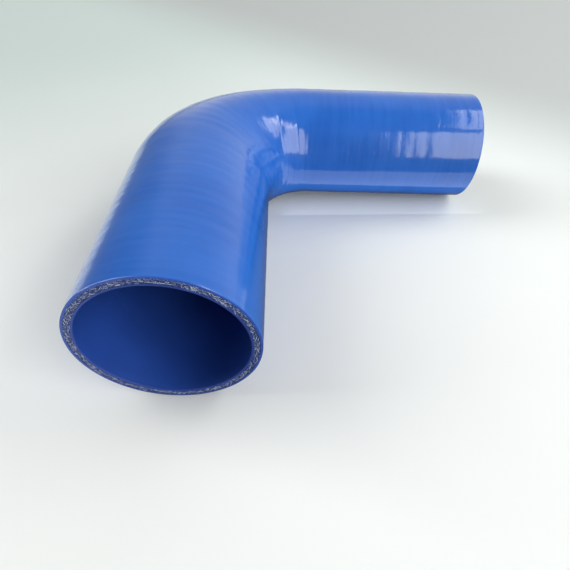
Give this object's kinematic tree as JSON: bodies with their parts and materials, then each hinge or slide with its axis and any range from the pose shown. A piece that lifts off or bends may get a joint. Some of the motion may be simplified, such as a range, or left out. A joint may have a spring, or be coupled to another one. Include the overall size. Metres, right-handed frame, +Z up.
{
  "type": "silicone reducing elbow hose",
  "caption": "Ninety degree reducing elbow hose in reinforced silicone: a large and a small cut end with a smooth bend between, slipped over pipes and clamped.",
  "frame": {"origin": "on the floor, under the centre of the hose's box as it lies on its side", "axes": "-Y out of the large end along the large leg, +X towards the small end, +Z up"},
  "size_m": [0.192, 0.185, 0.072],
  "materials": {
    "blue_silicone": "smooth glossy cured silicone with faint tape-wrap marks",
    "ply_yarn": "cut ends of the reinforcing plies, seen only on the two cut rims"
  },
  "bodies": {
    "root": {"elbow_hose": "blue_silicone"}
  },
  "joints": []
}
